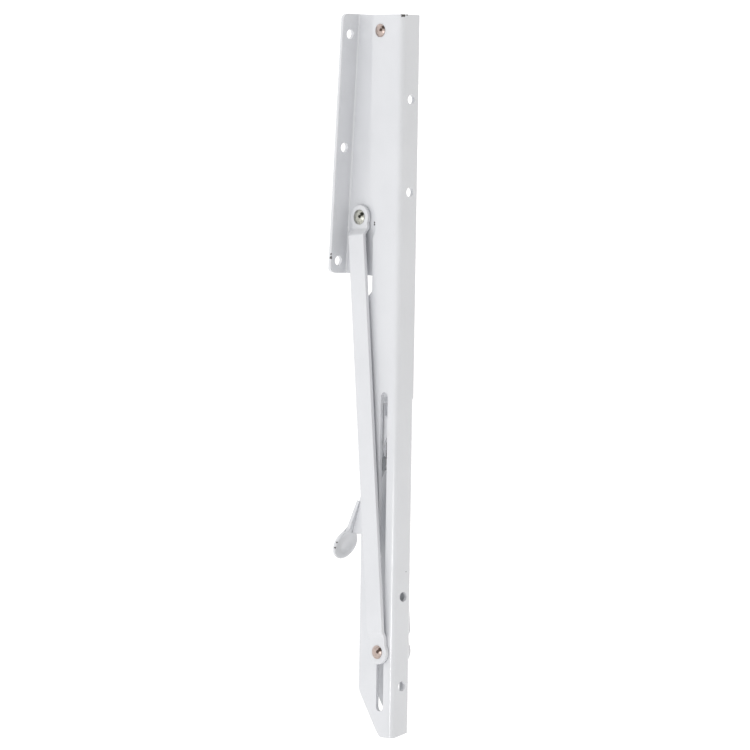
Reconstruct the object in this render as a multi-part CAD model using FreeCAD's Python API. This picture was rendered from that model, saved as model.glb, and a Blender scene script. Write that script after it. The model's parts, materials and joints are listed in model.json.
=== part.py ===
"""Folding drop leaf table bracket, shown folded down beside the wall, in millimetres.

The wall leg is screwed upright to the wall. The arm hangs from the main pivot at its top and carries
the leaf when it is raised. Two struts run from the leg to a pin that slides in the arm's slots, and a
sprung lever in the arm catches that pin when the arm is level.

+Z is up, +Y points to the wall, -Y to the room, and -X is the side with the arm's full length web.
The origin is the middle wall hole, on the face that lies on the wall.
"""
import FreeCAD, Part
import math
import os

V = FreeCAD.Vector

# Lengths below this count as nothing
tiny = 1e-6

# Sheet and play
sheet = 2.0
bend_inside = 1.0
side_play = 0.25
eye_play = 0.45
hole_play = 0.05
pin_play = 0.05
seat_gap = 0.3
open_pivot_gap = 0.3

# Arm, measured down from the main pivot and out from it towards the room
arm_width = 15.0
base_edge_trim = 0.8
edge_round = 0.5
arm_above_pivot = 8.9
arm_below_pivot = 397.5
base_from_pivot = 17.0
web_top_back = 6.4
web_waist_back = 3.4
web_low_back = 9.0
web_corner_radius = 4.0
waist_corner_radius = 1.0
low_corner_radius = 2.0
end_cut_radius = 8.0
waist_start = 94.0
waist_step = 4.0
waist_end = 146.5
far_web_start = 206.5
end_cut_start = 372.0
end_cut_run = 22.0
end_cut_width = 11.8
end_corner_radius = 4.0
end_lean = 3.0
eye_notch_play = 0.6
eye_notch_run = 5.0
leaf_hole_radius = 2.75
leaf_hole_offset = 0.8
leaf_holes_down = (38.6, 90.6, 318.1, 368.6)

# Slots for the sliding pin
slot_width = 5.5
slot_from_pivot = 7.7
slot_top = 203.2
slot_bottom = 383.0

# Wall leg
leg_above_pivot = 8.5
wall_from_pivot = 21.7
leg_flange_width = 14.5
leg_web_front = 7.5
leg_corner_radius = 4.0
leg_web_corner_radius = 6.0
wall_hole_radius = 2.75
wall_hole_in = 6.1
wall_hole_top = 3.0
wall_hole_pitch = 64.0
wall_hole_end = 7.0

# Pose in which the bracket is kept: the arm hangs a little away from the leg
rest_open_deg = 3.0

# Struts
strut_thick = 2.2
strut_width = 12.0
eye_radius = 6.9
strut_pivot_back = 8.6
strut_pivot_down = 105.6
pin_rest_down = 349.4
strut_body_out = 1.8
joggle_outside_radius = 2.0
joggle_inside_radius = 0.8
upper_joggle_start = 6.4
upper_joggle_run = 3.6
lower_joggle_start = 8.4
lower_joggle_run = 2.6

# Rivets
main_rivet_radius = 2.5
main_head_radius = 3.7
main_head_height = 1.7
head_rim_share = 0.2
dome_steps = 3
strut_rivet_radius = 2.6
strut_head_radius = 4.2
strut_head_height = 1.9
spacer_wall = 1.2
slide_pin_radius = 2.5
slide_head_radius = 3.8
slide_head_height = 1.7

# Release lever
lever_play = 0.8
lever_pivot_back = -0.3
lever_pivot_down = 243.6
lever_hub_radius = 4.6
pawl_seat_down = 216.2
pawl_seat_slope = 1.2
pawl_finger_top = 209.0
pawl_finger_front = 5.0
pawl_finger_lean = 0.3
pawl_finger_back_radius = 1.5
pawl_finger_front_radius = 0.6
pawl_seat_radius = 0.3
pawl_edge_radius = 0.8
pawl_nose_radius = 1.2
pawl_tip_front = 8.5
pawl_back_front = 1.6
pawl_nose_depth = 4.6
pawl_cam_front = 7.4
pawl_cam_start = 228.4
pawl_cam_back = 2.6
pawl_cam_down = 235.5
pawl_cam_radius = 2.0
hub_front_above = 2.0
hub_front_below = 3.0
hub_back_out = 1.5
hub_blend_radius = 4.0
handle_foot_radius = 3.0
handle_back_radius = 2.0
handle_start_down = 269.0
handle_start_back = 14.1
handle_end_down = 281.0
handle_end_back = 17.9
handle_plate_width = 7.5
handle_flange_out = 6.0
handle_flange_extra = 1.0
handle_flange_round = 0.6
paddle_radius = 9.2
paddle_reach = 10.8
paddle_tip_turn_deg = 7.0
paddle_rim_bevel = 0.5

# Lever rivet, its sleeve and the return spring
lever_rivet_radius = 3.0
lever_rivet_bore = 2.2
lever_rim_radius = 4.0
lever_rim_thick = 0.5
lever_rim_bevel_share = 0.4
sleeve_wall = 0.5
spring_wire = 0.7
spring_play = 0.15
spring_turns = 3
spring_turn_gap = 0.15
web_hook_short = 0.2
wire_sides = 6
spring_leg = 27.0
lever_spring_leg = 12.0

# Places that follow from the sizes above
half_width = arm_width / 2
near_web_inner = -half_width + sheet
far_web_inner = half_width - sheet
leg_web_near = near_web_inner + side_play
leg_web_far = leg_web_near + sheet
leg_flange_edge = leg_web_far - leg_flange_width
wall_hole_x = leg_flange_edge + wall_hole_in
pivot_above_origin = wall_hole_top + wall_hole_pitch
leg_below_pivot = wall_hole_top + 2 * wall_hole_pitch + wall_hole_end
upper_eye_inner = leg_web_near - eye_play
lower_eye_inner = -half_width - seat_gap
body_inner = -half_width - strut_body_out
lever_near = near_web_inner + lever_play
lever_far = lever_near + sheet
rest_open = math.radians(rest_open_deg)


def arm_point(x, back, down):
    """A point of the arm, with the arm straight below the main pivot."""
    return V(x, back, -down)


def turn_to_rest(shape):
    """Swings a piece of the arm from hanging plumb to its place at rest."""
    turned = shape.copy()
    turned.rotate(V(0, 0, 0), V(-1, 0, 0), rest_open_deg)
    return turned


def at_rest(point):
    """Where a point of the plumb arm lies at rest."""
    return V(
        point.x,
        point.y * math.cos(rest_open) + point.z * math.sin(rest_open),
        point.z * math.cos(rest_open) - point.y * math.sin(rest_open),
    )


def rounded_outline(corners, to_point):
    """Closed wire through corners (a, b, radius), each rounded by an arc tangent to both sides."""
    count = len(corners)
    joints = []
    for index in range(count):
        before = V(*corners[index - 1][:2], 0)
        corner = V(*corners[index][:2], 0)
        after = V(*corners[(index + 1) % count][:2], 0)
        radius = corners[index][2]
        back = (before - corner).normalize()
        ahead = (after - corner).normalize()
        if radius == 0:
            joints.append((corner, None, corner))
            continue
        half = back.getAngle(ahead) / 2
        cut = radius / math.tan(half)
        middle = (back + ahead).normalize() * (radius / math.sin(half) - radius)
        joints.append((corner + back * cut, corner + middle, corner + ahead * cut))
    edges = []
    for index, (start, middle, end) in enumerate(joints):
        if middle is not None:
            places = [to_point(p.x, p.y) for p in (start, middle, end)]
            edges.append(Part.Arc(*places).toShape())
        next_start = joints[(index + 1) % count][0]
        if (next_start - end).Length > tiny:
            side = Part.LineSegment(to_point(end.x, end.y), to_point(next_start.x, next_start.y))
            edges.append(side.toShape())
    return Part.Wire(edges)


def side_plate(corners, x_from, x_to):
    """A plate that lies across X, from an outline given as (back, down, corner radius)."""
    wire = rounded_outline(corners, lambda back, down: V(x_from, back, -down))
    return Part.Face(wire).extrude(V(x_to - x_from, 0, 0))


def section_bar(corners, down_from, down_to):
    """A bar that runs down, from a section given as (x, back, corner radius)."""
    wire = rounded_outline(corners, lambda x, back: V(x, back, -down_from))
    return Part.Face(wire).extrude(V(0, 0, down_from - down_to))


def rod_x(radius, x_from, x_to, back, down):
    return Part.makeCylinder(radius, x_to - x_from, V(x_from, back, -down), V(1, 0, 0))


def domed_head(radius, height, x_seat, back, down, outward):
    """A round rivet head with a short straight rim, seated at x_seat and peened to a dome along outward."""
    rise = height * (1 - head_rim_share)
    ball = (radius * radius + rise * rise) / (2 * rise)
    lean = math.asin(radius / ball)
    centre = x_seat + outward * (height - ball)
    points = [V(x_seat, back, -down), V(x_seat, back + radius, -down)]
    for step in range(dome_steps + 1):
        angle = lean * (1 - step / dome_steps)
        points.append(V(centre + outward * ball * math.cos(angle), back + ball * math.sin(angle), -down))
    points.append(points[0])
    return Part.Face(Part.makePolygon(points)).revolve(V(0, back, -down), V(1, 0, 0), 360)


def slot_cutter(x_from, x_to):
    """The long slot with round ends, as a cutter across X."""
    radius = slot_width / 2
    top = slot_top + radius
    bottom = slot_bottom - radius
    corner = V(x_from, -slot_from_pivot - radius, -bottom)
    middle = Part.makeBox(x_to - x_from, slot_width, bottom - top, corner)
    ends = [rod_x(radius, x_from, x_to, -slot_from_pivot, down) for down in (top, bottom)]
    return middle.fuse(ends).removeSplitter()


def arm_outline():
    """The arm's side view: both webs share its end cut, and the waist clears the struts' upper eye."""
    front = -base_from_pivot
    low_start = waist_end + web_low_back - web_waist_back
    cut_back = end_cut_width - base_from_pivot
    return [
        (front, -arm_above_pivot, 0),
        (web_top_back, -arm_above_pivot, web_corner_radius),
        (web_top_back, waist_start, waist_corner_radius),
        (web_waist_back, waist_start + waist_step, waist_corner_radius),
        (web_waist_back, waist_end, waist_corner_radius),
        (web_low_back, low_start, low_corner_radius),
        (web_low_back, end_cut_start, end_cut_radius),
        (cut_back, end_cut_start + end_cut_run, end_corner_radius),
        (cut_back - end_lean, arm_below_pivot, low_corner_radius),
        (front, arm_below_pivot, 0),
    ]


def channel_section(back):
    outside = bend_inside + sheet
    return [
        (-half_width, back, 0),
        (-half_width, -base_from_pivot, outside),
        (half_width, -base_from_pivot, outside),
        (half_width, back, 0),
        (far_web_inner, back, 0),
        (far_web_inner, sheet - base_from_pivot, bend_inside),
        (near_web_inner, sheet - base_from_pivot, bend_inside),
        (near_web_inner, back, 0),
    ]


def angle_section(back):
    outside = bend_inside + sheet
    return [
        (-half_width, back, 0),
        (-half_width, -base_from_pivot, outside),
        (half_width - base_edge_trim, -base_from_pivot, edge_round),
        (half_width - base_edge_trim, sheet - base_from_pivot, edge_round),
        (near_web_inner, sheet - base_from_pivot, bend_inside),
        (near_web_inner, back, 0),
    ]


def make_arm():
    back = web_low_back + 1.0
    upper = section_bar(angle_section(back), -arm_above_pivot, far_web_start)
    lower = section_bar(channel_section(back), far_web_start, arm_below_pivot)
    arm = upper.fuse(lower).common(side_plate(arm_outline(), -half_width - 1, half_width + 1))
    notch = rod_x(eye_radius + eye_notch_play, -half_width - 1, 0, strut_pivot_back, strut_pivot_down)
    low_notch = notch.copy()
    low_notch.translate(V(0, 0, -eye_notch_run))
    cuts = [notch, low_notch, slot_cutter(-half_width - 1, half_width + 1)]
    cuts.append(rod_x(main_rivet_radius + pin_play, -half_width - 1, 0, 0, 0))
    cuts.append(rod_x(lever_rivet_radius, 0, half_width + 1, lever_pivot_back, lever_pivot_down))
    hook_hole = spring_wire / 2 + hole_play
    cuts.append(rod_x(hook_hole, 0, half_width + 1, lever_pivot_back, spring_hole_down()))
    for down in leaf_holes_down:
        start = arm_point(leaf_hole_offset, -base_from_pivot - 1, down)
        cuts.append(Part.makeCylinder(leaf_hole_radius, sheet + 2, start, V(0, 1, 0)))
    return turn_to_rest(arm.cut(cuts).removeSplitter())


def make_leg():
    """The wall leg: a web inside the arm and a screw flange that turns out along the wall."""
    wall = wall_from_pivot
    section = [
        (leg_web_near, -leg_web_front, 0),
        (leg_web_far, -leg_web_front, 0),
        (leg_web_far, wall, bend_inside + sheet),
        (leg_flange_edge, wall, edge_round),
        (leg_flange_edge, wall - sheet, edge_round),
        (leg_web_near, wall - sheet, bend_inside),
    ]
    bar = section_bar(section, -leg_above_pivot, leg_below_pivot)
    outline = [
        (-leg_web_front, -leg_above_pivot, leg_web_corner_radius),
        (wall + 1, -leg_above_pivot, 0),
        (wall + 1, leg_below_pivot, 0),
        (-leg_web_front, leg_below_pivot, leg_web_corner_radius),
    ]
    leg = bar.common(side_plate(outline, leg_flange_edge - 1, leg_web_far + 1))
    leg = leg.common(flange_outline(wall))
    cuts = [rod_x(main_rivet_radius, leg_web_near - 1, leg_web_far + 1, 0, 0)]
    rivet = (strut_pivot_back, strut_pivot_down)
    cuts.append(rod_x(strut_rivet_radius, leg_web_near - 1, leg_web_far + 1, *rivet))
    for index in range(3):
        down = wall_hole_top + index * wall_hole_pitch
        start = V(wall_hole_x, wall - sheet - 1, -down)
        cuts.append(Part.makeCylinder(wall_hole_radius, sheet + 2, start, V(0, 1, 0)))
    return leg.cut(cuts)


def flange_outline(wall):
    """Rounds the free corners of the screw flange, seen from the room."""
    corners = [
        (leg_flange_edge, -leg_above_pivot, leg_corner_radius),
        (leg_web_far + 1, -leg_above_pivot, 0),
        (leg_web_far + 1, leg_below_pivot, 0),
        (leg_flange_edge, leg_below_pivot, leg_corner_radius),
    ]
    front = -leg_web_front - 1
    wire = rounded_outline(corners, lambda x, down: V(x, front, -down))
    return Part.Face(wire).extrude(V(0, wall + 1 - front, 0))


def strut_pin_rest():
    return at_rest(arm_point(0, -slot_from_pivot, pin_rest_down))


def strut_pivot():
    return V(0, strut_pivot_back, -strut_pivot_down)


def strut_length():
    return (strut_pivot() - strut_pin_rest()).Length


def strut_strip(side):
    """The strut seen on edge: two joggles lift its body clear of the arm and the leg."""
    length = strut_length()
    low_end = -eye_radius - 1
    top_end = length + eye_radius + 1
    stations = [
        (low_end, lower_eye_inner),
        (lower_joggle_start, lower_eye_inner),
        (lower_joggle_start + lower_joggle_run, body_inner),
        (length - upper_joggle_start - upper_joggle_run, body_inner),
        (length - upper_joggle_start, upper_eye_inner),
        (top_end, upper_eye_inner),
    ]
    outside = [(up, x - strut_thick, joggle_outside_radius) for up, x in stations]
    inside = [(up, x, joggle_inside_radius) for up, x in reversed(stations)]
    ring = outside + inside
    sharp = (0, len(outside) - 1, len(outside), len(ring) - 1)
    ring = [(up, x, 0 if index in sharp else radius) for index, (up, x, radius) in enumerate(ring)]
    wire = rounded_outline(ring, lambda up, x: V(side * -x, -eye_radius - 1, up))
    return Part.Face(wire).extrude(V(0, 2 * eye_radius + 2, 0))


def strut_plan():
    """The strut seen from the side: a straight bar with a round eye at each end."""
    length = strut_length()
    across = 4 * arm_width
    bar = Part.makeBox(across, strut_width, length, V(-across / 2, -strut_width / 2, 0))
    low_eye = Part.makeCylinder(eye_radius, across, V(-across / 2, 0, 0), V(1, 0, 0))
    top_eye = Part.makeCylinder(eye_radius, across, V(-across / 2, 0, length), V(1, 0, 0))
    return bar.fuse([low_eye, top_eye])


def make_strut(side):
    """side is -1 for the strut beside the full web and 1 for the far one."""
    strut = strut_strip(side).common(strut_plan())
    reach = 2 * arm_width
    low_hole = Part.makeCylinder(slide_pin_radius + pin_play, 2 * reach, V(-reach, 0, 0), V(1, 0, 0))
    top_hole = strut_top_rod(strut_rivet_radius, -reach, reach)
    return place_strut(strut.cut([low_hole, top_hole]))


def place_strut(shape):
    """Moves a piece from the strut's own frame, lower eye at zero, to its place at rest."""
    low = strut_pin_rest()
    top = strut_pivot()
    lean = math.degrees(math.atan2(top.y - low.y, top.z - low.z))
    placed = shape.copy()
    placed.rotate(V(0, 0, 0), V(-1, 0, 0), lean)
    placed.translate(low)
    return placed


def make_main_rivet():
    """The main pivot: it is fast in the leg, and the arm turns on it under the domed head."""
    head_seat = -half_width - hole_play
    shank = rod_x(main_rivet_radius, head_seat, leg_web_far, 0, 0)
    head = domed_head(main_head_radius, main_head_height, head_seat, 0, 0, -1)
    tail = domed_head(main_head_radius, main_head_height, leg_web_far, 0, 0, 1)
    return shank.fuse([head, tail])


def strut_top_rod(radius, x_from, x_to):
    """A rod on the axis of the struts' upper eyes, in the strut's own frame."""
    return Part.makeCylinder(radius, x_to - x_from, V(x_from, 0, strut_length()), V(1, 0, 0))


def make_near_rivet_end():
    """The rivet's near head and the stretch in the near eye; it ends at the eye's inner face."""
    outer = upper_eye_inner - strut_thick
    shank = strut_top_rod(strut_rivet_radius, outer, upper_eye_inner)
    head = domed_head(strut_head_radius, strut_head_height, outer, 0, -strut_length(), -1)
    return place_strut(shank.fuse(head))


def spacer_start():
    return leg_web_far + open_pivot_gap


def make_far_rivet_end():
    """The rivet's far head and its long stretch through the far eye and the spacer."""
    outer = strut_thick - upper_eye_inner
    shank = strut_top_rod(strut_rivet_radius, spacer_start(), outer)
    head = domed_head(strut_head_radius, strut_head_height, outer, 0, -strut_length(), 1)
    return place_strut(shank.fuse(head))


def make_strut_rivet():
    """The short stretch of the strut rivet that stays in the leg's web."""
    return rod_x(strut_rivet_radius, leg_web_near, leg_web_far, strut_pivot_back, strut_pivot_down)


def make_strut_spacer():
    """The tube that keeps the far strut as wide apart as the arm is."""
    tube = strut_top_rod(strut_rivet_radius + spacer_wall, spacer_start(), -upper_eye_inner)
    return place_strut(tube.cut(strut_top_rod(strut_rivet_radius, spacer_start() - 1, 1 - upper_eye_inner)))


def make_slide_pin():
    """The pin that slides in both slots and carries the struts' lower eyes between its heads."""
    outer = -lower_eye_inner + strut_thick + hole_play
    back = -slot_from_pivot
    shank = rod_x(slide_pin_radius, -outer, outer, back, pin_rest_down)
    near = domed_head(slide_head_radius, slide_head_height, -outer, back, pin_rest_down, -1)
    far = domed_head(slide_head_radius, slide_head_height, outer, back, pin_rest_down, 1)
    return turn_to_rest(shank.fuse([near, far]))


def lever_outline():
    """The lever's plate: pawl at the top, hub at the rivet, and the handle that leaves the channel."""
    back = lever_pivot_back
    hub = lever_hub_radius
    nose_end = pawl_seat_down + pawl_seat_slope + pawl_nose_depth
    slope = (handle_end_back - handle_start_back) / (handle_end_down - handle_start_down)
    front_start = handle_start_back - handle_plate_width
    return [
        (-pawl_back_front, pawl_finger_top, pawl_finger_back_radius),
        (-pawl_finger_front, pawl_finger_top, pawl_finger_front_radius),
        (-pawl_finger_front - pawl_finger_lean, pawl_seat_down, pawl_seat_radius),
        (-pawl_tip_front, pawl_seat_down + pawl_seat_slope, pawl_edge_radius),
        (-pawl_tip_front, nose_end, pawl_nose_radius),
        (-pawl_cam_front, pawl_cam_start, pawl_edge_radius),
        (-pawl_cam_back, pawl_cam_down, pawl_cam_radius),
        (back - hub, lever_pivot_down - hub_front_above, pawl_cam_radius),
        (back - hub, lever_pivot_down + hub_front_below, hub_front_below),
        (front_start, handle_start_down, hub_blend_radius),
        (front_start + slope * (handle_end_down - handle_start_down), handle_end_down, handle_foot_radius),
        (handle_end_back + sheet / 2, handle_end_down, 0),
        (handle_start_back + sheet / 2, handle_start_down, handle_back_radius),
        (back + hub + hub_back_out, lever_pivot_down, hub_blend_radius),
    ]


def make_lever():
    """The release lever: a plate with a pawl, a stiffening flange and a round thumb paddle."""
    plate = side_plate(lever_outline(), lever_near, lever_far)
    run = handle_end_down - handle_start_down
    drift = handle_end_back - handle_start_back
    lean = math.degrees(math.atan2(drift, run))
    length = math.hypot(run, drift)
    flange_length = length + handle_flange_extra
    flange = Part.makeBox(handle_flange_out + sheet, sheet, flange_length)
    flange.translate(V(lever_far - handle_flange_out - sheet, 0, -flange_length))
    flange = flange.makeFillet(handle_flange_round, [flange_corner(flange)])
    paddle = make_paddle()
    paddle.rotate(V(0, 0, 0), V(1, 0, 0), paddle_tip_turn_deg)
    paddle.translate(V(0, 0, -length))
    handle = flange.fuse(paddle)
    handle.rotate(V(0, 0, 0), V(1, 0, 0), lean)
    handle.translate(arm_point(0, handle_start_back, handle_start_down))
    lever = plate.fuse(handle)
    bore_radius = lever_rivet_radius + pin_play
    bore = rod_x(bore_radius, lever_near - 1, lever_far + 1, lever_pivot_back, lever_pivot_down)
    return turn_to_rest(lever.cut(bore).removeSplitter())


def flange_corner(box):
    """The upper corner of the flange's free edge."""
    ends = [edge for edge in box.Edges if edge.BoundBox.XLength < tiny and edge.BoundBox.ZLength < tiny]
    return min(ends, key=lambda edge: edge.CenterOfMass.x - edge.CenterOfMass.z)


def make_paddle():
    """A round pressed disc whose face looks at the room, joined to the flange by a short neck."""
    middle = lever_far - (handle_flange_out + sheet) / 2
    centre = V(middle, 0, -paddle_reach)
    disc = Part.makeCylinder(paddle_radius, sheet, centre, V(0, 1, 0))
    rims = [edge for edge in disc.Edges if edge.Closed and edge.Curve.TypeId == "Part::GeomCircle"]
    disc = disc.makeChamfer(paddle_rim_bevel, rims)
    neck_width = handle_flange_out + sheet
    neck = Part.makeBox(neck_width, sheet, paddle_reach, V(middle - neck_width / 2, 0, -paddle_reach))
    return disc.fuse(neck)


def make_lever_rivet():
    """A hollow rivet whose rolled rim keeps the lever on it; it ends flush with the far web."""
    rim_seat = lever_near - hole_play
    shank = rod_x(lever_rivet_radius, rim_seat, half_width, lever_pivot_back, lever_pivot_down)
    rim = rod_x(lever_rim_radius, rim_seat - lever_rim_thick, rim_seat, lever_pivot_back, lever_pivot_down)
    edges = [edge for edge in rim.Edges if edge.Closed and edge.Curve.TypeId == "Part::GeomCircle"]
    rim = rim.makeChamfer(lever_rim_thick * lever_rim_bevel_share, edges)
    bore = rod_x(lever_rivet_bore, -half_width, half_width + 1, lever_pivot_back, lever_pivot_down)
    return turn_to_rest(shank.fuse(rim).cut(bore))


def sleeve_radius():
    return lever_rivet_radius + sleeve_wall


def make_sleeve():
    """The sleeve that holds the lever beside the near web, with the spring round it."""
    start = lever_far + hole_play
    outer = rod_x(sleeve_radius(), start, far_web_inner, lever_pivot_back, lever_pivot_down)
    bore = rod_x(lever_rivet_radius, start - 1, far_web_inner + 1, lever_pivot_back, lever_pivot_down)
    return turn_to_rest(outer.cut(bore))


def spring_radius():
    return sleeve_radius() + spring_play + spring_wire / 2


def spring_hole_down():
    return lever_pivot_down + spring_leg


def make_spring():
    """The torsion spring: turns round the sleeve, one leg hooked into the far web, one on the lever."""
    radius = spring_radius()
    pitch = spring_wire + spring_turn_gap
    start_x = far_web_inner - spring_wire / 2 - spring_turn_gap
    end_x = start_x - pitch * spring_turns
    pivot_z = -lever_pivot_down
    helix = Part.makeHelix(pitch, pitch * spring_turns, radius)
    helix.rotate(V(0, 0, 0), V(0, 1, 0), -90)
    helix.translate(V(start_x, lever_pivot_back, pivot_z))
    first = helix.Edges[0].valueAt(helix.Edges[0].FirstParameter)
    tangent = helix.Edges[0].tangentAt(helix.Edges[0].FirstParameter)
    outline = wire_outline(first, tangent, V(1, 0, 0))
    coil = Part.Wire(helix.Edges).makePipeShell([outline], True, True)
    low_x = start_x - pitch / 2
    hook = V(low_x, lever_pivot_back, -spring_hole_down())
    hook_end = V(half_width - web_hook_short, lever_pivot_back, -spring_hole_down())
    low_leg = wire_run([V(low_x, lever_pivot_back, pivot_z - radius), hook, hook_end])
    tip = V(end_x, lever_pivot_back, pivot_z + radius + lever_spring_leg)
    rest = V(lever_far + spring_turn_gap / 2, lever_pivot_back, tip.z)
    high_leg = wire_run([V(end_x, lever_pivot_back, pivot_z + radius), tip, rest])
    return turn_to_rest(coil.fuse([low_leg, high_leg]))


def wire_outline(centre, direction, beside):
    """The spring wire's section, drawn with flat sides so that its turns stay light."""
    radius = spring_wire / 2
    sideways = direction.cross(beside).normalize()
    upward = direction.cross(sideways).normalize()
    corners = []
    for index in range(wire_sides + 1):
        angle = 2 * math.pi * (index % wire_sides) / wire_sides
        corners.append(centre + sideways * radius * math.cos(angle) + upward * radius * math.sin(angle))
    return Part.makePolygon(corners)


def wire_run(points):
    """Straight stretches of spring wire that overlap by half a wire at each bend."""
    stretches = []
    for start, end in zip(points, points[1:]):
        along = (end - start).normalize()
        outline = wire_outline(start - along * (spring_wire / 2), along, V(0, 1, 0))
        ending = end if end == points[-1] else end + along * (spring_wire / 2)
        stretches.append(Part.Face(outline).extrude(ending - start + along * (spring_wire / 2)))
    return stretches[0].fuse(stretches[1:])


def main():
    os.makedirs("parts", exist_ok=True)
    pieces = {
        "wall_leg": make_leg(),
        "arm_channel": make_arm(),
        "near_strut": make_strut(-1),
        "far_strut": make_strut(1),
        "main_pivot_rivet": make_main_rivet(),
        "strut_rivet": make_strut_rivet(),
        "strut_spacer": make_strut_spacer(),
        "near_rivet_end": make_near_rivet_end(),
        "far_rivet_end": make_far_rivet_end(),
        "slide_pin": make_slide_pin(),
        "release_lever": make_lever(),
        "lever_rivet": make_lever_rivet(),
        "lever_sleeve": make_sleeve(),
        "lever_spring": make_spring(),
    }
    to_origin = V(-wall_hole_x, -wall_from_pivot, pivot_above_origin)
    for name, shape in pieces.items():
        shape.translate(to_origin)
        shape.exportStep("parts/" + name + ".step")
        box = shape.BoundBox
        print(name, "solids", len(shape.Solids), "valid", shape.isValid(), "volume", round(shape.Volume, 2))
        print("    from", round(box.XMin, 2), round(box.YMin, 2), round(box.ZMin, 2),
              "to", round(box.XMax, 2), round(box.YMax, 2), round(box.ZMax, 2))


main()
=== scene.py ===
# %% [markdown]
# This lesson dresses a folding drop leaf table bracket: white powder coated sheet steel, bare rivet
# heads and a bright return spring. The exact shapes come first, as a fixed frame in metres, with +Z up,
# the wall at +Y and the room at -Y. Everything made here is placed from that frame, because a piece that
# is measured from the thing it sits on can't drift away from it.

# %% Load the frame
import bpy
import bmesh
import json
import math
from mathutils import Matrix, Vector


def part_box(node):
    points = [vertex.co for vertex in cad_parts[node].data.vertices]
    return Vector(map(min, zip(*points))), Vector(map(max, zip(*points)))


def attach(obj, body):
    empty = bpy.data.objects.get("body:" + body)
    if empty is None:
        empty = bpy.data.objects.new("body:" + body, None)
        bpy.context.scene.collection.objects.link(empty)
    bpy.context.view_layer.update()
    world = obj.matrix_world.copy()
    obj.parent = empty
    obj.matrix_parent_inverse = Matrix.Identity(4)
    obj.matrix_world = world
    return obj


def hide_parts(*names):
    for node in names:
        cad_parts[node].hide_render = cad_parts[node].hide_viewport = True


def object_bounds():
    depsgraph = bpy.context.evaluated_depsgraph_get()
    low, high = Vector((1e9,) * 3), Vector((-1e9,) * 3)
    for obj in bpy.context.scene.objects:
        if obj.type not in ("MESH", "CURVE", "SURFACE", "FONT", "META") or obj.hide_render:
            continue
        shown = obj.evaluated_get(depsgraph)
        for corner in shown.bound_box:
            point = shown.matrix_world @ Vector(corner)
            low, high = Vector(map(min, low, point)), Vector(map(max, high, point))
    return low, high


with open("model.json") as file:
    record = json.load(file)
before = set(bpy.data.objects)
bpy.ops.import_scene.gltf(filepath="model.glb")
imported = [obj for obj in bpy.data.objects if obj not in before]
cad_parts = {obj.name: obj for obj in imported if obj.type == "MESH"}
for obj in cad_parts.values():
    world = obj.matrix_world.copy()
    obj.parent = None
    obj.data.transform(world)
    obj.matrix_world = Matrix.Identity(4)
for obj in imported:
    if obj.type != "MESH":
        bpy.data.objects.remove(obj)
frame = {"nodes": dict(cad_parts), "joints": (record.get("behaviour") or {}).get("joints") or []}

frame_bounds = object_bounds()
print("nodes", sorted(frame["nodes"]))

# %% [markdown]
# Most sizes below are in millimetres, as they would be on a workshop drawing, so one factor turns them
# into metres. The main pivot is where the arm hangs from the wall leg. The arm leans a few degrees at
# rest, so places on it are given as distances across, back towards the wall and down from that pivot.

# %% Places on the arm
mm = 0.001
rest_open = math.radians(3.0)
main_pivot = Vector(next(joint["pos_m"] for joint in frame["joints"] if joint["name"] == "fold"))
arm_down = Vector((0.0, -math.sin(rest_open), -math.cos(rest_open)))
arm_back = Vector((0.0, math.cos(rest_open), -math.sin(rest_open)))


def on_arm(across, back, down):
    """A point of the arm, from its distances in millimetres to the main pivot."""
    return main_pivot + Vector((across, 0, 0)) * mm + arm_back * back * mm + arm_down * down * mm


def box_middle(node):
    low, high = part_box(node)
    return (low + high) / 2


print("main pivot", [round(value / mm, 2) for value in main_pivot], "mm")
print("middle of the sliding pin", [round(value / mm, 2) for value in box_middle("slide_pin")], "mm")

# %% [markdown]
# A procedural finish is a small calculation that Blender repeats at each point of a surface. Drawn as
# boxes and wires it soon gets hard to read, so this class wraps one socket and lets plain arithmetic add
# the Math nodes. Its add method makes any other node: the type first, then the settings, then the inputs.


# %% Shader arithmetic
class Shade:
    """One socket of a finish. Arithmetic on it adds Math nodes, and add makes any other node."""

    def __init__(self, tree, socket=None):
        self.tree = tree
        self.socket = socket

    def add(self, kind, settings=None, inputs=None, output=0):
        node = self.tree.nodes.new(kind)
        for name, value in (settings or {}).items():
            setattr(node, name, value)
        for name, value in (inputs or {}).items():
            if isinstance(value, Shade):
                self.tree.links.new(value.socket, node.inputs[name])
            else:
                node.inputs[name].default_value = value
        return Shade(self.tree, node.outputs[output])

    def maths(self, operation, first, second=0.0):
        return self.add("ShaderNodeMath", {"operation": operation}, {0: first, 1: second})

    def __add__(self, other):
        return self.maths("ADD", self, other)

    def __radd__(self, other):
        return self.maths("ADD", other, self)

    def __sub__(self, other):
        return self.maths("SUBTRACT", self, other)

    def __mul__(self, other):
        return self.maths("MULTIPLY", self, other)

    def larger(self, other):
        return self.maths("MAXIMUM", self, other)

    def step(self, low, high, at_low=0.0, at_high=1.0):
        """A soft step from one value to another as this one goes from low to high."""
        settings = {"interpolation_type": "SMOOTHSTEP"}
        inputs = {"Value": self, "From Min": low, "From Max": high, "To Min": at_low, "To Max": at_high}
        return self.add("ShaderNodeMapRange", settings, inputs)

    def mix(self, first, second):
        """A colour between two others, with this value as the share of the second."""
        inputs = {0: self, 6: first, 7: second}
        return self.add("ShaderNodeMix", {"data_type": "RGBA"}, inputs, output=2)


def place_on_surface(tree):
    """The point of the surface in metres, in the same frame as everything else here."""
    return Shade(tree).add("ShaderNodeTexCoord", output=3)


def along(place, direction):
    """How far a place lies along a direction."""
    inputs = {0: place, 1: direction}
    return place.add("ShaderNodeVectorMath", {"operation": "DOT_PRODUCT"}, inputs, output=1)


def seen_from(place, point):
    """The same place, measured from another point."""
    return place.add("ShaderNodeVectorMath", {"operation": "SUBTRACT"}, {0: place, 1: point})


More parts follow.
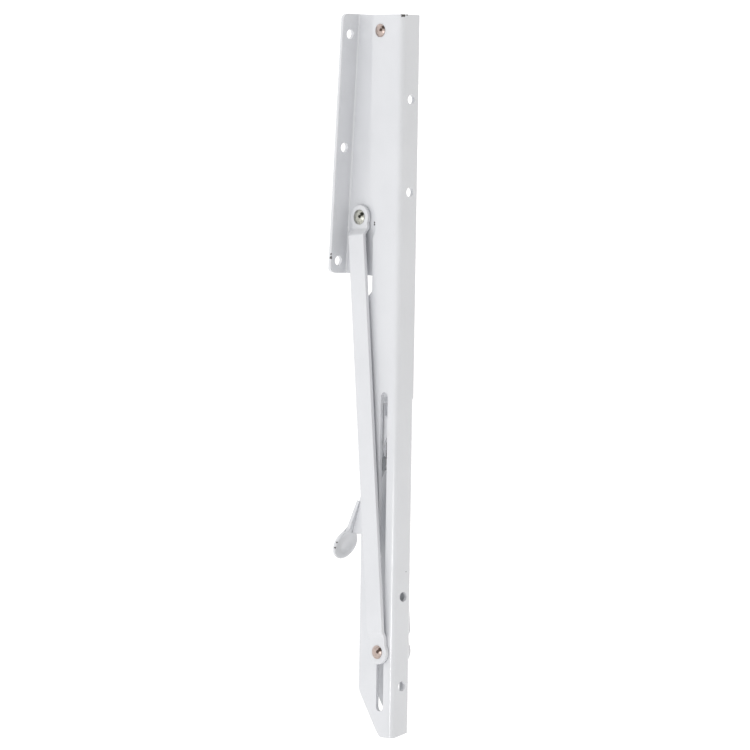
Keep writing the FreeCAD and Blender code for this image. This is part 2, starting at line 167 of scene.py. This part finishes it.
def noise(place, size_mm, detail=2.0):
    """Soft random patches of about the given size."""
    inputs = {"Vector": place, "Scale": 1.0 / (size_mm * mm), "Detail": detail}
    return place.add("ShaderNodeTexNoise", None, inputs)


def stretched(place, factors):
    """The same place with its axes scaled, which draws a pattern out along one of them."""
    return place.add("ShaderNodeMapping", None, {"Vector": place, "Scale": factors})


print("shader arithmetic is ready")

# %% [markdown]
# Every finish starts from one physically based shader. What is the same all over is typed straight on the
# shader's own sockets, and only what really changes over the surface gets nodes. That keeps a finish quick
# to render and easy to bake.


# %% A bare finish
def new_finish(name, constants):
    """A material with its one shader, whose plain values are set on its own sockets."""
    material = bpy.data.materials.new(name)
    material.use_nodes = True
    shader = material.node_tree.nodes["Principled BSDF"]
    for socket, value in constants.items():
        shader.inputs[socket].default_value = value
    return material, material.node_tree, shader


def feed(shader, socket, value):
    value.tree.links.new(value.socket, shader.inputs[socket])


def roughen(shader, height, strength, depth_mm):
    """Lets a height pattern tilt the surface's shading."""
    inputs = {"Height": height, "Strength": strength, "Distance": depth_mm * mm}
    feed(shader, "Normal", height.add("ShaderNodeBump", None, inputs))


print("finishes can be made")

# %% [markdown]
# Powder coat breaks off where sheet edges knock against things, and the dark steel shows through in spots a
# millimetre wide. One spot is a ball round a named place: the finish measures how far a point of the
# surface lies from the ball's middle, bends that distance with noise so that the rim is ragged, and turns
# it into a mask. Typing the places keeps the chips where this bracket really has them.

# %% Where the coat is chipped
arm_chips = [
    (on_arm(-7.1, -16.6, 51.0), 0.7),
    (on_arm(-6.4, -16.6, -8.8), 1.7),
    (on_arm(-3.6, -16.6, -8.8), 0.9),
    (on_arm(2.7, -17.0, 304.0), 0.3),
    (on_arm(-6.6, -17.0, 240.0), 0.35),
]
leg_low, leg_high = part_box("wall_leg")
leg_front = leg_high.y - 2.0 * mm
leg_chips = [
    (Vector((leg_low.x, leg_front, leg_low.z + 8.6 * mm)), 1.1),
    (Vector((leg_low.x, leg_front, leg_low.z + 10.6 * mm)), 0.7),
    (Vector((leg_low.x + 6.4 * mm, leg_front + 0.6 * mm, leg_low.z + 4.1 * mm)), 0.7),
    (on_arm(-5.25, 4.55, 107.9), 0.6),
    (on_arm(-5.25, 4.6, 109.0), 0.6),
]
paddle_middle = on_arm(-6.7, 22.4, 290.8)
lever_chips = [
    (on_arm(-14.1, 21.7, 289.2), 0.65),
    (on_arm(-14.1, 23.1, 292.3), 0.75),
]
for chipped, chips in (("arm", arm_chips), ("leg", leg_chips), ("lever", lever_chips)):
    print(len(chips), "chips on the", chipped)

# %% [markdown]
# The mask is made in one way for any list of chips. Where two of them meet, the larger value wins, so they
# run together into one bare patch.

# %% Chip mask
chip_raggedness = 1.1
chip_rim_from = 0.78


def chip_mask(place, chips):
    """One inside the chips and nothing elsewhere, with ragged rims."""
    ragged = noise(place, 0.7, detail=3.0)
    mask = None
    for middle, radius_mm in chips:
        inputs = {0: place, 1: middle}
        away = place.add("ShaderNodeVectorMath", {"operation": "DISTANCE"}, inputs, output=1)
        bent = away * (1.0 / (radius_mm * mm)) + (ragged - 0.5) * chip_raggedness
        spot = bent.step(chip_rim_from, 1.0, 1.0, 0.0)
        mask = spot if mask is None else mask.larger(spot)
    return mask


print("chips are round masks with ragged rims")

# %% [markdown]
# The white coat is sprayed as powder and melted in an oven. It flows into a slightly wavy film, called
# orange peel, so highlights on it are soft and a little uneven, and handling leaves it a touch duller in
# patches. A coarse and a fine noise as bump give the peel, a broad one varies the gloss and the tone, and
# a thin clear-coat layer gives the sharper shine that lies over the satin one. Between the channel's webs
# the colour is painted greyer and darker, as painted shade for the dim inside of the channel.

# %% White powder coat
coat_white = (0.665, 0.675, 0.705, 1.0)
coat_dull = (0.64, 0.65, 0.68, 1.0)
# Painted shade: the grey that darkens the coat between the channel's webs.
coat_painted_shade = (0.40, 0.415, 0.44, 1.0)
chip_steel = (0.055, 0.05, 0.05, 1.0)
patch_size = 28.0
coarse_peel = 1.6
fine_peel = 0.6
peel_height = 0.004
channel_half = 5.55
web_fade = 0.1
channel_floor = -15.1
floor_fade = 0.3
mouth_fade_from = 6.0
mouth_fade_to = 10.0
channel_top = 206.5
pawl_end = 240.0
top_fade = 4.0


# Marks where the painted shade between the channel's webs goes.
def inside_channel(place, top):
    """One between the channel's two webs and below a level of the arm, and nothing outside them."""
    centred = seen_from(place, main_pivot)
    across = centred.add("ShaderNodeSeparateXYZ", None, {0: centred})
    sideways = across.maths("ABSOLUTE", across)
    back = along(centred, arm_back)
    between = sideways.step(channel_half * mm, (channel_half + web_fade) * mm, 1.0, 0.0)
    behind_base = back.step((channel_floor - floor_fade) * mm, channel_floor * mm)
    before_mouth = back.step(mouth_fade_from * mm, mouth_fade_to * mm, 1.0, 0.0)
    below_top = along(centred, arm_down).step((top - top_fade) * mm, top * mm)
    return between * behind_base * before_mouth * below_top


def white_coat(name, chips=(), painted_shade_inside=0.0, painted_shade_below=0.0, dish=None):
    """The powder coat, with the chips of one piece, painted shade inside the channel and a pressed dish."""
    constants = {"Coat Weight": 1.0, "Coat Roughness": 0.08, "Specular IOR Level": 0.45}
    material, tree, shader = new_finish(name, constants)
    place = place_on_surface(tree)
    patches = noise(place, patch_size, detail=3.0)
    colour = patches.step(0.35, 0.75).mix(coat_white, coat_dull)
    # Painted shade: inside the channel, where it lies in shadow, the colour is darkened towards grey.
    if painted_shade_inside:
        colour = (inside_channel(place, painted_shade_below) * painted_shade_inside).mix(colour, coat_painted_shade)
    gloss = 0.34 + patches * 0.10 + noise(place, 5.0) * 0.06
    waves = noise(place, coarse_peel, detail=1.0) + noise(place, fine_peel, detail=1.0) * 0.35
    peel = waves * peel_height
    if chips:
        bare = chip_mask(place, chips)
        colour = bare.mix(colour, chip_steel)
        gloss = gloss + bare * 0.2
        peel = peel - bare * 0.05
    if dish:
        peel = peel + pressed_dish(place, *dish)
    feed(shader, "Base Color", colour)
    feed(shader, "Roughness", gloss)
    roughen(shader, peel, 1.0, 1.0)
    return material


def pressed_dish(place, middle, radius_mm, depth_mm):
    """A shallow dish with a raised rim, as height in millimetres."""
    out = place.add("ShaderNodeVectorMath", {"operation": "DISTANCE"}, {0: place, 1: middle}, output=1)
    return out.step(radius_mm * 0.2 * mm, radius_mm * mm, 0.0, depth_mm)


# The arm and the lever are given painted shade inside the channel.
arm_coat = white_coat("white_coat_arm", arm_chips, painted_shade_inside=0.45, painted_shade_below=channel_top)
leg_coat = white_coat("white_coat_leg", leg_chips)
paddle_dish = (paddle_middle, 8.6, 2.2)
lever_coat = white_coat(
    "white_coat_lever", lever_chips, painted_shade_inside=1.0, painted_shade_below=pawl_end, dish=paddle_dish,
)
strut_coat = white_coat("white_coat_struts")
print("coats", [material.name for material in (arm_coat, leg_coat, lever_coat, strut_coat)])

# %% [markdown]
# The rivets were set after coating, so their heads are bare. A rivet is spun or peened over, which leaves
# fine rings round its axis and a smeared dome with patches of darker tone. The rings come from a wave on
# the distance to that axis. Two dark marks on the room side of each head are a painted reflection of what
# the dome mirrors in the studio: they are placed from the head's middle and cut ragged like the chips.

# %% Bare rivet steel
mark_depth = 0.5
# Where the painted reflections sit on each near head, and how large they are.
painted_reflection_marks = [
    ((0.0, -1.7, 0.5), 1.1),
    ((0.5, -2.9, 2.0), 1.3),
]


def rivet_steel(name, node, light, dark, ring_mm=0.45):
    """Bare metal with turned rings round a rivet's axis along X, and painted reflections as dark marks on
    its near head.
    """
    material, tree, shader = new_finish(name, {"Metallic": 1.0})
    place = place_on_surface(tree)
    axis_place = box_middle(node)
    head = Vector((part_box(node)[0].x + mark_depth * mm, axis_place.y, axis_place.z))
    marks = [(head + Vector(offset) * mm, radius_mm) for offset, radius_mm in painted_reflection_marks]
    flat = stretched(seen_from(place, axis_place), (0.0, 1.0, 1.0))
    out = flat.add("ShaderNodeVectorMath", {"operation": "LENGTH"}, {0: flat}, output=1)
    turns = out * (2 * math.pi / (ring_mm * mm))
    rings = turns.maths("SINE", turns)
    # Painted reflection: dark marks where the dome would mirror dark things in the studio.
    painted_reflection = chip_mask(place, marks)
    smear = noise(place, 1.4, detail=3.0).step(0.4, 0.8, 0.0, 0.45)
    feed(shader, "Base Color", smear.larger(painted_reflection).mix(light, dark))
    feed(shader, "Roughness", 0.26 + noise(place, 0.9) * 0.14 + painted_reflection * 0.12)
    roughen(shader, rings + noise(place, 0.5) * 1.5, 0.25, 0.02)
    return material


copper_light = (0.50, 0.41, 0.375, 1.0)
copper_dark = (0.10, 0.07, 0.06, 1.0)
olive_light = (0.50, 0.50, 0.45, 1.0)
olive_dark = (0.035, 0.035, 0.03, 1.0)
pivot_steel = rivet_steel("pivot_rivet_steel", "main_pivot_rivet", copper_light, copper_dark)
strut_steel = rivet_steel("strut_rivet_steel", "near_rivet_end", olive_light, olive_dark)
pin_steel = rivet_steel("slide_pin_steel", "slide_pin", copper_light, copper_dark)
print("rivet heads", [material.name for material in (pivot_steel, strut_steel, pin_steel)])

# %% [markdown]
# Inside the channel sit a hollow rivet, a sleeve and a torsion spring. They are zinc plated or drawn
# bright, and only slivers of them show through the slot, so a finish with a little grain is enough.


# %% Zinc and spring wire
def plated_steel(name, colour, shade, gloss):
    """Plain plated metal with a faint grain."""
    material, tree, shader = new_finish(name, {"Metallic": 1.0})
    place = place_on_surface(tree)
    grain = noise(stretched(place, (4.0, 1.0, 1.0)), 1.2, detail=3.0)
    feed(shader, "Base Color", grain.step(0.3, 0.7).mix(colour, shade))
    feed(shader, "Roughness", gloss + grain * 0.15)
    roughen(shader, grain, 0.1, 0.01)
    return material


zinc = plated_steel("zinc_steel", (0.56, 0.57, 0.58, 1.0), (0.42, 0.42, 0.42, 1.0), 0.28)
wire_steel = plated_steel("spring_steel", (0.62, 0.62, 0.63, 1.0), (0.45, 0.45, 0.46, 1.0), 0.18)
print("plated finishes", zinc.name, wire_steel.name)

# %% [markdown]
# Cut and folded sheet has sharp corners, but the melted powder draws them round, and that small radius is
# what catches a line of light along each edge. The frame's pieces come as loose triangles, so a copy of
# each coated one gets its triangles joined, its flat faces made whole again, and its sharp edges bevelled
# by a fraction of a millimetre. The bevel only takes material away, so the copy stays inside the frame.

# %% Rounded coat edges
coat_edge = 0.25
sharp_angle = math.radians(40.0)
flat_angle = math.radians(0.5)
same_point = 0.002 * mm


def joined_copy(node):
    """A frame piece's shape with its triangles joined and its flat faces whole."""
    shape = bmesh.new()
    shape.from_mesh(frame["nodes"][node].data)
    bmesh.ops.remove_doubles(shape, verts=shape.verts, dist=same_point)
    bmesh.ops.dissolve_limit(
        shape, angle_limit=flat_angle, verts=shape.verts, edges=shape.edges, delimit={"NORMAL"},
    )
    return shape


def is_sharp(edge):
    return len(edge.link_faces) == 2 and edge.calc_face_angle() > sharp_angle


def round_edges(shape, width_mm):
    sharp = [edge for edge in shape.edges if is_sharp(edge)]
    bmesh.ops.bevel(
        shape, geom=sharp, offset=width_mm * mm, offset_type="OFFSET", segments=2, profile=0.5,
        affect="EDGES", material=-1, clamp_overlap=True,
    )
    return len(sharp)


def show_piece(shape, name, finish, node, body):
    """Makes an object of a shape, smooth except at sharp edges, in place of its frame piece."""
    mesh = bpy.data.meshes.new(name)
    for face in shape.faces:
        face.smooth = True
    shape.to_mesh(mesh)
    shape.free()
    mesh.set_sharp_from_angle(angle=sharp_angle)
    mesh.materials.append(finish)
    piece = bpy.data.objects.new(name, mesh)
    bpy.context.scene.collection.objects.link(piece)
    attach(piece, body)
    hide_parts(node)
    return piece


def coated_piece(node, body, finish, reshape=None):
    """Shows a piece with rounded coat edges, after any change that a function makes to its shape."""
    shape = joined_copy(node)
    if reshape:
        reshape(shape)
    rounded = round_edges(shape, coat_edge)
    piece = show_piece(shape, node + "_coated", finish, node, body)
    even = piece.modifiers.new("even_shading", "WEIGHTED_NORMAL")
    even.keep_sharp = True
    print(piece.name, "edges rounded", rounded, "faces", len(piece.data.polygons))


coated_piece("wall_leg", "leg", leg_coat)
coated_piece("near_strut", "struts", strut_coat)
coated_piece("far_strut", "struts", strut_coat)

# %% [markdown]
# The arm's free end isn't cut square: on the real bracket the end of the leaf side rises by almost three
# millimetres towards its far edge. The copy's end points are slid up along the arm, more and more the
# further across they lie, which slants the end and leaves the full web's own cut corner as it is.

# %% The arm with its slanted end
end_rise = 2.8
slant_from_down = 393.0
slant_length = 4.5
slant_from_across = -4.5
slant_width = 12.0


def slant_free_end(shape):
    """Slides the end points of the arm up along it, the most at its far edge."""
    for vert in shape.verts:
        place = vert.co - main_pivot
        lengthways = (place.dot(arm_down) / mm - slant_from_down) / slant_length
        sideways = (place.x / mm - slant_from_across) / slant_width
        if lengthways > 0 and sideways > 0:
            vert.co -= arm_down * end_rise * lengthways * sideways * mm


coated_piece("arm_channel", "arm", arm_coat, slant_free_end)

# %% [markdown]
# The release lever is one pressing: a plate with a pawl, a stiffening flange and a round thumb paddle. On
# the real lever the flange runs out to nothing up the plate's edge, the plate reaches lower, and the
# paddle is a little narrower. Each of these slides a few points of the copy by a small amount. The points
# are picked by where they lie on the arm. The paddle's dish is shallow enough to leave to the finish.

# %% Release lever
paddle_top = 282.9
paddle_right = 2.5
paddle_narrowing = 0.92
flange_edge = -9.0
flange_foot_top = 280.0
flange_foot_in = 2.8
flange_corner_top = 268.0
corner_shift = on_arm(5.3, -1.05, -3.3) - main_pivot
plate_end_top = 278.5
plate_edge = -5.0
plate_back = 18.0
plate_shift = on_arm(0.0, 1.0, 3.2) - main_pivot


def shape_lever(shape):
    """Tapers the flange, lowers the plate's end and narrows the paddle."""
    moved_points = {"paddle": 0, "foot": 0, "corner": 0, "plate": 0}
    for vert in shape.verts:
        place = vert.co - main_pivot
        across = place.x / mm
        back = place.dot(arm_back) / mm
        down = place.dot(arm_down) / mm
        if down > paddle_top:
            vert.co.x = main_pivot.x + (paddle_right + (across - paddle_right) * paddle_narrowing) * mm
            moved_points["paddle"] += 1
        elif down > flange_foot_top and across < flange_edge:
            vert.co.x += flange_foot_in * mm
            moved_points["foot"] += 1
        elif down > flange_corner_top and across < flange_edge:
            vert.co += corner_shift
            moved_points["corner"] += 1
        elif down > plate_end_top and across > plate_edge and back < plate_back:
            vert.co += plate_shift
            moved_points["plate"] += 1
    print("points moved on the lever", moved_points)


coated_piece("release_lever", "lever", lever_coat, shape_lever)

# %% [markdown]
# A rivet is a turned shape, so half of its outline is drawn once and spun round its axis. Each head is a
# short straight rim and a dome. The dome's points lie on a circle worked out from the head's radius and
# height, and a full spin with its seam merged closes the shape.

# %% Turned rivets
dome_points = 9
spin_steps = 56
head_rim_share = 0.2
pivot_shank = 2.5
pivot_head = 1.7
strut_shank = 2.6
strut_head = 1.9


def dome_outline(x_seat, x_top, radius):
    """Points (x, distance from the axis) from a head's top to its seat."""
    rise = (x_seat - x_top) * (1 - head_rim_share)
    ball = (radius * radius + rise * rise) / (2 * abs(rise))
    widest = math.asin(radius / ball)
    towards_seat = math.copysign(1.0, rise)
    points = []
    for index in range(dome_points + 1):
        angle = widest * index / dome_points
        points.append((x_top + towards_seat * ball * (1 - math.cos(angle)), ball * math.sin(angle)))
    points.append((x_seat, radius))
    return points


def turned_piece(node, body, finish, outline):
    """Spins an outline round the piece's own axis, which lies along X."""
    axis = box_middle(node)
    shape = bmesh.new()
    verts = [shape.verts.new((x, axis.y, axis.z + out)) for x, out in outline]
    edges = [shape.edges.new(pair) for pair in zip(verts, verts[1:])]
    bmesh.ops.spin(
        shape, geom=verts + edges, cent=axis, axis=(1.0, 0.0, 0.0), angle=2 * math.pi,
        steps=spin_steps, use_merge=True,
    )
    bmesh.ops.remove_doubles(shape, verts=shape.verts, dist=same_point)
    bmesh.ops.recalc_face_normals(shape, faces=shape.faces)
    piece = show_piece(shape, node + "_turned", finish, node, body)
    print(piece.name, "faces", len(piece.data.polygons))


def rivet_outline(node, shank_mm, near_head_mm=0.0, far_head_mm=0.0):
    """The outline of a rivet with a head at one end or both, from its box in the frame."""
    low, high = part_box(node)
    head = (high.y - low.y) / 2
    shank = shank_mm * mm
    outline = [(low.x, 0.0), (low.x, shank)]
    if near_head_mm:
        outline = dome_outline(low.x + near_head_mm * mm, low.x, head)
        outline.append((low.x + near_head_mm * mm, shank))
    if far_head_mm:
        ending = dome_outline(high.x - far_head_mm * mm, high.x, head)
        return outline + [(high.x - far_head_mm * mm, shank)] + ending[::-1]
    return outline + [(high.x, shank), (high.x, 0.0)]


for node, body, finish in (("main_pivot_rivet", "leg", pivot_steel), ("slide_pin", "pin", pin_steel)):
    outline = rivet_outline(node, pivot_shank, near_head_mm=pivot_head, far_head_mm=pivot_head)
    turned_piece(node, body, finish, outline)
near_outline = rivet_outline("near_rivet_end", strut_shank, near_head_mm=strut_head)
far_outline = rivet_outline("far_rivet_end", strut_shank, far_head_mm=strut_head)
turned_piece("near_rivet_end", "struts", strut_steel, near_outline)
turned_piece("far_rivet_end", "struts", strut_steel, far_outline)

# %% [markdown]
# The pieces inside keep their frame shapes, because only slivers of them show. A finish is worn by putting
# it in the object's material slots, and the frame's own pieces are never moved or reshaped. The hidden
# originals get their finish too, so that every piece of the bracket carries its own material.

# %% Dress the frame's pieces
finish_of = {
    "wall_leg": leg_coat,
    "arm_channel": arm_coat,
    "near_strut": strut_coat,
    "far_strut": strut_coat,
    "release_lever": lever_coat,
    "main_pivot_rivet": pivot_steel,
    "strut_rivet": strut_steel,
    "near_rivet_end": strut_steel,
    "far_rivet_end": strut_steel,
    "slide_pin": pin_steel,
    "strut_spacer": zinc,
    "lever_rivet": zinc,
    "lever_sleeve": zinc,
    "lever_spring": wire_steel,
}
for node, finish in finish_of.items():
    piece = frame["nodes"][node]
    piece.data.materials.clear()
    piece.data.materials.append(finish)
print("dressed", len(finish_of), "of", len(frame["nodes"]), "pieces")

# %% [markdown]
# The photograph was taken with a long lens from the side of the full web, about 45 degrees round and a
# little above, with the camera rolled by 3 degrees. The camera's axes are worked out from those angles and
# written into its matrix, which is plainer than turning it by three angles in the right order.

# %% Camera
photo_pixels = 750
round_angle = math.radians(-45.1417)
above_angle = math.radians(4.2286)
roll_angle = math.radians(-3.0406)
camera_away = 2.819975
sensor_mm = 36.0
focal_pixels = 4986.47
aim_below_pivot = 194.2916
aim_to_right = 1.9225

right = Vector((math.cos(round_angle), math.sin(round_angle), 0.0))
towards_camera = Vector((
    math.sin(round_angle) * math.cos(above_angle),
    -math.cos(round_angle) * math.cos(above_angle),
    math.sin(above_angle),
))
up = towards_camera.cross(right)
aim = main_pivot + Vector((0, 0, -aim_below_pivot)) * mm + right * aim_to_right * mm
rolled_right = right * math.cos(roll_angle) - up * math.sin(roll_angle)
rolled_up = right * math.sin(roll_angle) + up * math.cos(roll_angle)

camera_data = bpy.data.cameras.new("studio_camera")
camera_data.sensor_width = sensor_mm
camera_data.lens = focal_pixels / photo_pixels * sensor_mm
camera_data.clip_end = 100.0
camera = bpy.data.objects.new("studio_camera", camera_data)
bpy.context.scene.collection.objects.link(camera)
axes = Matrix((rolled_right, rolled_up, towards_camera)).transposed().to_4x4()
camera.matrix_world = Matrix.Translation(aim + towards_camera * camera_away) @ axes
bpy.context.scene.camera = camera
print("lens", round(camera_data.lens, 1), "mm, camera at", [round(value, 3) for value in camera.location])

# %% [markdown]
# The light is that of a white studio: bright from behind and above, and less bright from the room side, so
# the leaf side of the arm comes out greyer than the web. The sky is a slope of brightness that rises mostly
# towards the wall and the top, and its white is a little warmer on the room side.

# %% Studio light
sky_slope = (0.03, 0.37, 0.12)
sky_level = 0.93
room_white = (1.0, 0.985, 0.94, 1.0)
wall_white = (1.0, 1.0, 1.0, 1.0)


def studio_sky():
    """A sky that is brighter and cooler towards the wall side and the top than towards the room."""
    world = bpy.data.worlds.new("studio_sky")
    world.use_nodes = True
    tree = world.node_tree
    background = tree.nodes["Background"]
    direction = Shade(tree).add("ShaderNodeTexCoord", output=0)
    brightness = along(direction, sky_slope) + sky_level
    colour = along(direction, (0.0, 1.0, 0.0)).step(-1.0, 0.4).mix(room_white, wall_white)
    tree.links.new(brightness.socket, background.inputs["Strength"])
    tree.links.new(colour.socket, background.inputs["Color"])
    return world


bpy.context.scene.world = studio_sky()
bpy.context.scene.view_settings.view_transform = "Standard"
bpy.context.scene.view_settings.look = "None"
print("sky", bpy.context.scene.world.name)

# %% [markdown]
# The photograph has one thin bright line, down the lower half of the arm's fold. A low, wide lamp gives it:
# the fold's round mirrors the lamp where its normal lies midway between lamp and camera. The lamp's
# width sets how wide the line is, and its height how far up the arm the line runs.


# %% Strip lamp
def strip_lamp(name, azimuth, elevation, distance, width, height, watts):
    """A long low lamp that looks at the bracket from the given angles."""
    flat_out = math.cos(math.radians(elevation))
    side = math.radians(azimuth)
    way = Vector((math.sin(side) * flat_out, -math.cos(side) * flat_out, math.sin(math.radians(elevation))))
    lamp_data = bpy.data.lights.new(name, "AREA")
    lamp_data.shape = "RECTANGLE"
    lamp_data.size = width
    lamp_data.size_y = height
    lamp_data.energy = watts
    lamp = bpy.data.objects.new(name, lamp_data)
    lamp.location = aim + way * distance
    lamp.rotation_euler = way.to_track_quat("Z", "Y").to_euler()
    bpy.context.scene.collection.objects.link(lamp)
    return lamp


strip_lamp("low_strip", azimuth=-69.0, elevation=-7.5, distance=2.0, width=0.6, height=0.24, watts=4.0)
print("one strip lamp, low on the web's side")

# %% [markdown]
# The bracket hangs on a wall, so the floor lies well below it. It is very wide, pale and faintly glowing,
# which keeps the lower part of the picture as white as the photograph's ground.

# %% Floor
floor_below = 0.25
floor_size = 60.0
floor_level = frame_bounds[0][2] - floor_below


def pale_floor():
    """A wide pale floor under the bracket."""
    mesh = bpy.data.meshes.new("pale_floor")
    shape = bmesh.new()
    bmesh.ops.create_grid(shape, x_segments=1, y_segments=1, size=floor_size / 2)
    bmesh.ops.translate(shape, verts=shape.verts, vec=(0, 0, floor_level))
    shape.to_mesh(mesh)
    shape.free()
    floor = bpy.data.objects.new("pale_floor", mesh)
    bpy.context.scene.collection.objects.link(floor)
    finish, tree, shader = new_finish("floor_white", {"Roughness": 0.9, "Emission Strength": 0.22})
    shader.inputs["Emission Color"].default_value = (1.0, 1.0, 1.0, 1.0)
    place = place_on_surface(tree)
    feed(shader, "Base Color", noise(place, 900.0).mix((0.93, 0.93, 0.93, 1.0), (0.95, 0.95, 0.95, 1.0)))
    mesh.materials.append(finish)
    return floor


floor = pale_floor()
print("floor", round(floor_level, 3), "m")
